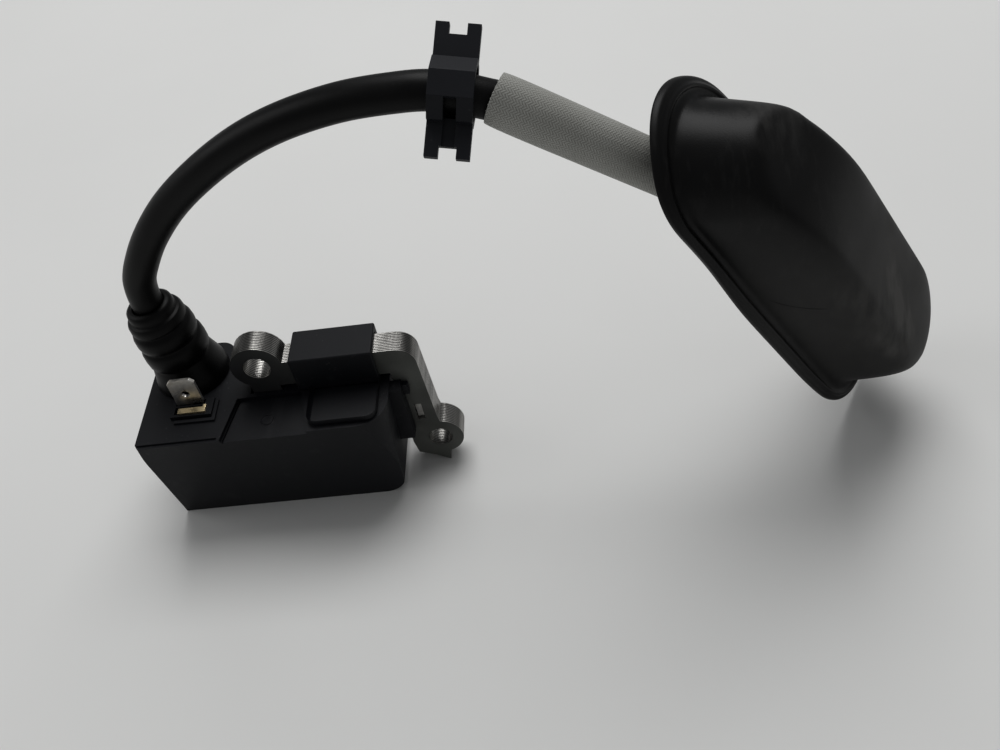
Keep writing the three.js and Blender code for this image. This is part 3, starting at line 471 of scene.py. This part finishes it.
# Strain relief: moulded rubber sleeve with three stepped collars over a flared foot; it grips the lead
# where it leaves the housing, and leans a little outwards.
RELIEF_TILT = math.radians(6)
RELIEF_BORE = 0.00395
RELIEF_GRIP = 0.0003
relief_profile = [
    (RELIEF_BORE - RELIEF_GRIP, -0.002), (0.0086, -0.002), (0.0086, 0.0012), (0.0083, 0.0024),
    (0.0076, 0.0048),
]
relief_profile += [(RELIEF_BORE + wall, height) for wall, height in (
    (0.0032, 0.0066), (0.003, 0.007), (0.00305, 0.0073), (0.0034, 0.0078), (0.0035, 0.0095),
    (0.0034, 0.0112), (0.0031, 0.012), (0.00275, 0.0123), (0.0027, 0.0127), (0.00305, 0.0131),
    (0.0032, 0.0142), (0.0031, 0.0158), (0.0028, 0.0167), (0.0024, 0.017), (0.0023, 0.0174),
    (0.0026, 0.0178), (0.0025, 0.0192), (0.0022, 0.0199), (0.0015, 0.0202), (0.0014, 0.0206),
    (0.0015, 0.0212), (0.0013, 0.0222), (0.0008, 0.0227), (0.0001, 0.0229),
    (-RELIEF_GRIP, 0.0227), (-RELIEF_GRIP, 0.012), (-RELIEF_GRIP, -0.002),
)]
bpy.ops.object.select_all(action="DESELECT")
mouth_radius, mouth_height = relief_profile[0]
bpy.ops.mesh.primitive_circle_add(vertices=72, radius=mouth_radius, location=(0, 0, mouth_height))
strain_relief = bpy.context.object
strain_relief.name = "strain_relief_sleeve"
bpy.ops.object.transform_apply(location=True)
bpy.ops.object.mode_set(mode="EDIT")
bpy.ops.mesh.select_all(action="SELECT")
for (r0, z0), (r1, z1) in zip(relief_profile, relief_profile[1:]):
    bpy.ops.mesh.extrude_region_move(TRANSFORM_OT_translate={"value": (0, 0, z1 - z0)})
    bpy.ops.transform.resize(value=(r1 / r0, r1 / r0, 1), center_override=(0, 0, z1))
bpy.ops.mesh.select_all(action="SELECT")
bpy.ops.mesh.remove_doubles(threshold=1e-6)
bpy.ops.mesh.normals_make_consistent(inside=False)
bpy.ops.object.mode_set(mode="OBJECT")
strain_relief.location = on_coil(9.7, 22, 0)
strain_relief.rotation_euler = (0, -RELIEF_TILT, 0)
only(strain_relief)
bpy.ops.object.transform_apply(location=True, rotation=True, scale=True)
bpy.ops.object.mode_set(mode="EDIT")
bpy.ops.mesh.select_all(action="SELECT")
bpy.ops.mesh.bisect(plane_co=on_coil(0, 0, 0.05), plane_no=(0, 0, 1), clear_inner=True)
bpy.ops.mesh.bridge_edge_loops()
bpy.ops.mesh.select_all(action="SELECT")
bpy.ops.mesh.normals_make_consistent(inside=False)
bpy.ops.object.mode_set(mode="OBJECT")
applied(
    strain_relief, "BEVEL", width=0.00012, segments=2, limit_method="ANGLE",
    angle_limit=math.radians(40),
)
relief_rubber = rubber("relief_rubber", (0.0008, 0.0008, 0.0009), (0.012, 0.012, 0.012), 0.2, 0.36)
finished(strain_relief, relief_rubber, "module", "strain_relief", smooth=45)

# Wire guide: nylon clip threaded on the lead. It is a plate with a notch at each end, round an
# eight-sided hub, and a slot runs down the front from the hub so that it can open.
guide = rounded(copied("wire_guide", "wire_guide_clip"), 0.0002, 3, 30)
finished(guide, nylon("guide_nylon", 0.00002, 2.6), "guide", "wire_guide")

# Heat sleeve: braided glass-fibre tube with a resin coat, slipped loosely over the lead. Its strands
# cross two over and two under, and its mouth is cut at a slant and draws in a little.
SLEEVE_RADIUS = 0.0048
SLEEVE_LENGTH = 0.038
SLEEVE_WALL = 0.0004
SLEEVE_BEFORE_RUN = 0.0032
run_start = on_coil(94.6, 8.06, 69.06)
run_along = (route[-1] - run_start).normalized()
mouth = run_start - run_along * SLEEVE_BEFORE_RUN
side = run_along.cross(Vector((0, 0, 1))).normalized()
over = side.cross(run_along)
bpy.ops.object.select_all(action="DESELECT")
bpy.ops.mesh.primitive_grid_add(x_subdivisions=192, y_subdivisions=240, size=1)
sleeve = bpy.context.object
sleeve.name = "heat_sleeve_braid"
STRANDS = 48
STRANDS_ALONG = SLEEVE_LENGTH / (2 * math.pi * SLEEVE_RADIUS) * STRANDS
CUT_SLANT = 0.0025
CUT_TURN = math.radians(114)
for vertex in sleeve.data.vertices:
    around, down = vertex.co.x + 0.5, vertex.co.y + 0.5
    turns = around * STRANDS
    rows = down * STRANDS_ALONG
    first, second = turns + rows, turns - rows
    over_first = (math.floor(first) + math.floor(second)) % 4 < 2
    crown = math.sin(math.pi * ((first if over_first else second) % 1))
    drawn_in = 0.0002 * math.exp(-down * SLEEVE_LENGTH / 0.0014)
    wave = 0.00008 * math.sin(6.3 * around * 2 + 9 * down) * math.exp(-down * 6)
    radius = SLEEVE_RADIUS - 0.00006 + 0.00005 * crown - drawn_in + wave
    angle = 2 * math.pi * around
    slant = CUT_SLANT * (1 - down) * math.sin(angle - CUT_TURN)
    place = mouth + run_along * (down * SLEEVE_LENGTH + slant)
    vertex.co = place + (side * math.cos(angle) + over * math.sin(angle)) * radius
only(sleeve)
bpy.ops.object.mode_set(mode="EDIT")
bpy.ops.mesh.select_all(action="SELECT")
bpy.ops.mesh.remove_doubles(threshold=1e-6)
bpy.ops.mesh.normals_make_consistent(inside=False)
bpy.ops.object.mode_set(mode="OBJECT")
applied(sleeve, "SOLIDIFY", thickness=SLEEVE_WALL, offset=-1)
glass = Finish("glass_fibre_braid", sheen_weight=0.15)
uv = glass.node("ShaderNodeTexCoord", out="UV")
weave_u = glass.node("ShaderNodeSeparateXYZ", sockets={0: uv}, out="X") * STRANDS
weave_v = glass.node("ShaderNodeSeparateXYZ", sockets={0: uv}, out="Y") * STRANDS_ALONG


def floor_of(value):
    return value.math("FLOOR", value, 0)


first, second = weave_u + weave_v, weave_u - weave_v
crossing = floor_of(first) + floor_of(second)
cell = crossing.math("FLOORED_MODULO", crossing, 4)
over_first = cell.math("LESS_THAN", cell, 1.5)
bend = first * over_first + second * (1 - over_first)
bend = bend - floor_of(bend)
crown = 4 * bend * (1 - bend)
threads = glass.noise(2600, 3)
soiled = glass.noise(90, 4)
glass.set(
    base_color=glass.mix(
        glass.ramp(crown + threads * 0.35, 0.1, 1.1),
        glass.mix(soiled, (0.13, 0.123, 0.11), (0.2, 0.19, 0.17)),
        glass.mix(soiled, (0.3, 0.3, 0.275), (0.42, 0.425, 0.4)),
    ),
    roughness=glass.ramp(crown, 0, 1, 0.8, 0.55),
)
glass.relief(crown * 0.7 + threads * 0.5, 0.00005)
finished(sleeve, glass, "sleeve", "heat_sleeve", smooth=60)

# Plug cover: long moulded rubber hood over the spark plug, with a flange that has a raised bead round
# it. The mould leaves it matt, handling leaves dust, scuffs and a scratch, and its lower right carries
# painted light from the floor.
cover = bpy.data.objects.new("plug_cover_hood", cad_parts["plug_cover"].data.copy())
bpy.context.scene.collection.objects.link(cover)
only(cover)
bpy.ops.object.mode_set(mode="EDIT")
bpy.ops.mesh.select_all(action="SELECT")
bpy.ops.mesh.remove_doubles(threshold=2e-6)
bpy.ops.mesh.tris_convert_to_quads(face_threshold=math.radians(60), shape_threshold=math.radians(80))
bpy.ops.object.mode_set(mode="OBJECT")
applied(cover, "SUBSURF", levels=2, render_levels=2)
hood = Finish("cover_rubber", specular_ior_level=0.16)
cloud = hood.noise(70, 5)
# Dusty scuffs where the hood is held, and one curved scratch beside the flange.
wiped = hood.ramp(hood.noise(420, 6, (1, 0.3, 0.2)), 0.4, 0.72)
scuffs = hood.near(on_coil(165.7, 8.4, 10.2), 0.011, (1, 1, 0.8)) * 0.9
for place, reach, share in (
    ((163.6, 8.6, 15.9), 0.009, 0.6), ((167.4, 7, 3.6), 0.008, 0.5),
    ((156.6, 0.9, 20.1), 0.01, 0.35), ((139.6, 9.5, 58.9), 0.009, 0.4),
):
    scuffs = scuffs + hood.near(on_coil(*place), reach) * share
ring = hood.near(on_coil(147, 4.2, 31.5), 0.0155)
scratch = hood.ramp(ring, 0.025, 0.032) * hood.ramp(ring, 0.048, 0.038)
scratch = scratch * hood.ramp(hood.near(on_coil(144, 4.7, 16.2), 0.009), 0.3, 0.5)
fine = hood.ramp(hood.noise(900, 3, (1, 0.25, 0.25)), 0.55, 0.75) * 0.15
skin_colour = hood.mix(cloud, (0.0038, 0.0038, 0.0041), (0.0062, 0.0061, 0.0062))
# Painted light: mottled lightening round the lower right of the hood, where light from the floor falls on
# it. It joins the real scuffs and streaks in the pale marks.
painted_floor_light = hood.near(on_coil(162, 6, 10), 0.042) * hood.ramp(hood.noise(60, 5), 0.3, 0.7, 0.35, 0.6)
scuffs_and_painted_light = scuffs * wiped * 1.5 + fine * 0.4 + painted_floor_light * 0.8
hood.set(
    base_color=hood.mix(scratch, hood.mix(scuffs_and_painted_light, skin_colour, (0.1, 0.098, 0.095)), (0.001, 0.001, 0.001)),
    roughness=hood.ramp(cloud, 0.3, 0.7, 0.34, 0.46) + scuffs_and_painted_light * 0.5,
)
hood.relief(hood.noise(5200, 3) + cloud * 0.6 - scratch * 3 + scuffs_and_painted_light, 0.00002)
finished(cover, hood, "module", "plug_cover", smooth=50)

# Connector: rubber tube inside the plug cover that pushes over the spark plug, with a side socket that
# grips the lead's end, and the plated contact spring in its bore.
connector = rounded(copied("plug_connector", "plug_connector_body"), 0.0003, 2)
connector_rubber = rubber("connector_rubber", (0.008, 0.008, 0.008), (0.06, 0.06, 0.06), 0.2, 0.45)
finished(connector, connector_rubber, "module", "plug_connector")

spring_steel = Finish("spring_steel", metallic=1.0)
drawn = spring_steel.noise(900, 3)
spring_steel.set(
    base_color=spring_steel.mix(drawn, (0.5, 0.5, 0.5), (0.68, 0.67, 0.65)),
    roughness=spring_steel.ramp(drawn, 0.3, 0.7, 0.18, 0.32),
)
spring = copied("contact_spring", "contact_spring_coil")
finished(spring, spring_steel, "module", "contact_spring", smooth=60)

# Parts inside the housing keep their CAD shapes: coil formers, windings, and the trigger circuit's
# board and components, with the pin that feeds the lead.
def plain(name, dark, light, scale, roughness, depth=0.00002, **fixed):
    """A simple mottled finish for a part that the housing hides."""
    finish = Finish(name, **fixed)
    cloud = finish.noise(scale, 4)
    finish.set(
        base_color=finish.mix(cloud, dark, light),
        roughness=finish.ramp(cloud, 0.3, 0.7, roughness, roughness + 0.15),
    )
    return finish.relief(cloud, depth)


wound = Finish("wound_copper", metallic=1.0)
turns = wound.node("ShaderNodeTexWave", {"bands_direction": "Z"}, {"Vector": wound.place, "Scale": 700.0})
wound.set(
    base_color=wound.mix(turns, (0.3, 0.1, 0.03), (0.75, 0.36, 0.16)),
    roughness=wound.ramp(turns, 0, 1, 0.5, 0.3),
)
wound.relief(turns, 0.00008)
former = plain("former_nylon", (0.6, 0.56, 0.45), (0.74, 0.7, 0.58), 300, 0.45)
moulded = plain("component_black", (0.012, 0.012, 0.012), (0.03, 0.03, 0.03), 1200, 0.45)
for node, finish in {
    "primary_bobbin": former,
    "secondary_bobbin": former,
    "primary_winding": wound,
    "secondary_winding": wound,
    "circuit_board": plain("board_green", (0.02, 0.1, 0.04), (0.04, 0.17, 0.07), 500, 0.35),
    "charge_capacitor": plain("capacitor_dip", (0.26, 0.07, 0.02), (0.42, 0.13, 0.05), 200, 0.2),
    "power_transistor": moulded,
    "trigger_resistor": plain("resistor_body", (0.5, 0.34, 0.18), (0.68, 0.5, 0.3), 400, 0.25),
    "rectifier_diode": moulded,
    "high_tension_pin": brass,
}.items():
    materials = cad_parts[node].data.materials
    materials.clear()
    materials.append(finish.material)

# The lead's exit point is worked out here, once the pieces on it are made: its guide, sleeve, cover,
# connector and spring.
on_coil(*LEAD_EXIT)

# Studio: a plain pale floor, a broad soft light above and behind the coil, and a pale surround.
bpy.ops.object.select_all(action="DESELECT")
bpy.ops.mesh.primitive_plane_add(size=4, location=(0, 0, 0))
floor = bpy.context.object
floor.name = "bench_floor"
table = Finish("bench_top", specular_ior_level=0.2, roughness=0.6)
table.set(base_color=table.mix(table.noise(9, 4), (0.66, 0.66, 0.65), (0.71, 0.71, 0.7)))
floor.data.materials.append(table.material)
for name, place, size, power in (
    ("ceiling_panel", (0.1, 0.42, 0.95), 0.7, 7.6),
    ("window_side", (-0.9, 0.1, 0.6), 0.6, 1.8),
):
    lamp = bpy.data.lights.new(name, "AREA")
    lamp.shape = "SQUARE"
    lamp.size = size
    lamp.energy = power
    light = bpy.data.objects.new(name, lamp)
    light.location = place
    light.rotation_euler = (Vector((0.05, 0, 0.04)) - light.location).to_track_quat("-Z", "Y").to_euler()
    bpy.context.scene.collection.objects.link(light)
world = bpy.data.worlds.new("pale_room")
world.use_nodes = True
world.node_tree.nodes["Background"].inputs["Color"].default_value = (0.8, 0.81, 0.82, 1)
world.node_tree.nodes["Background"].inputs["Strength"].default_value = 0.34
bpy.context.scene.world = world
bpy.context.scene.view_settings.view_transform = "Standard"
bpy.context.scene.view_settings.gamma = 0.88
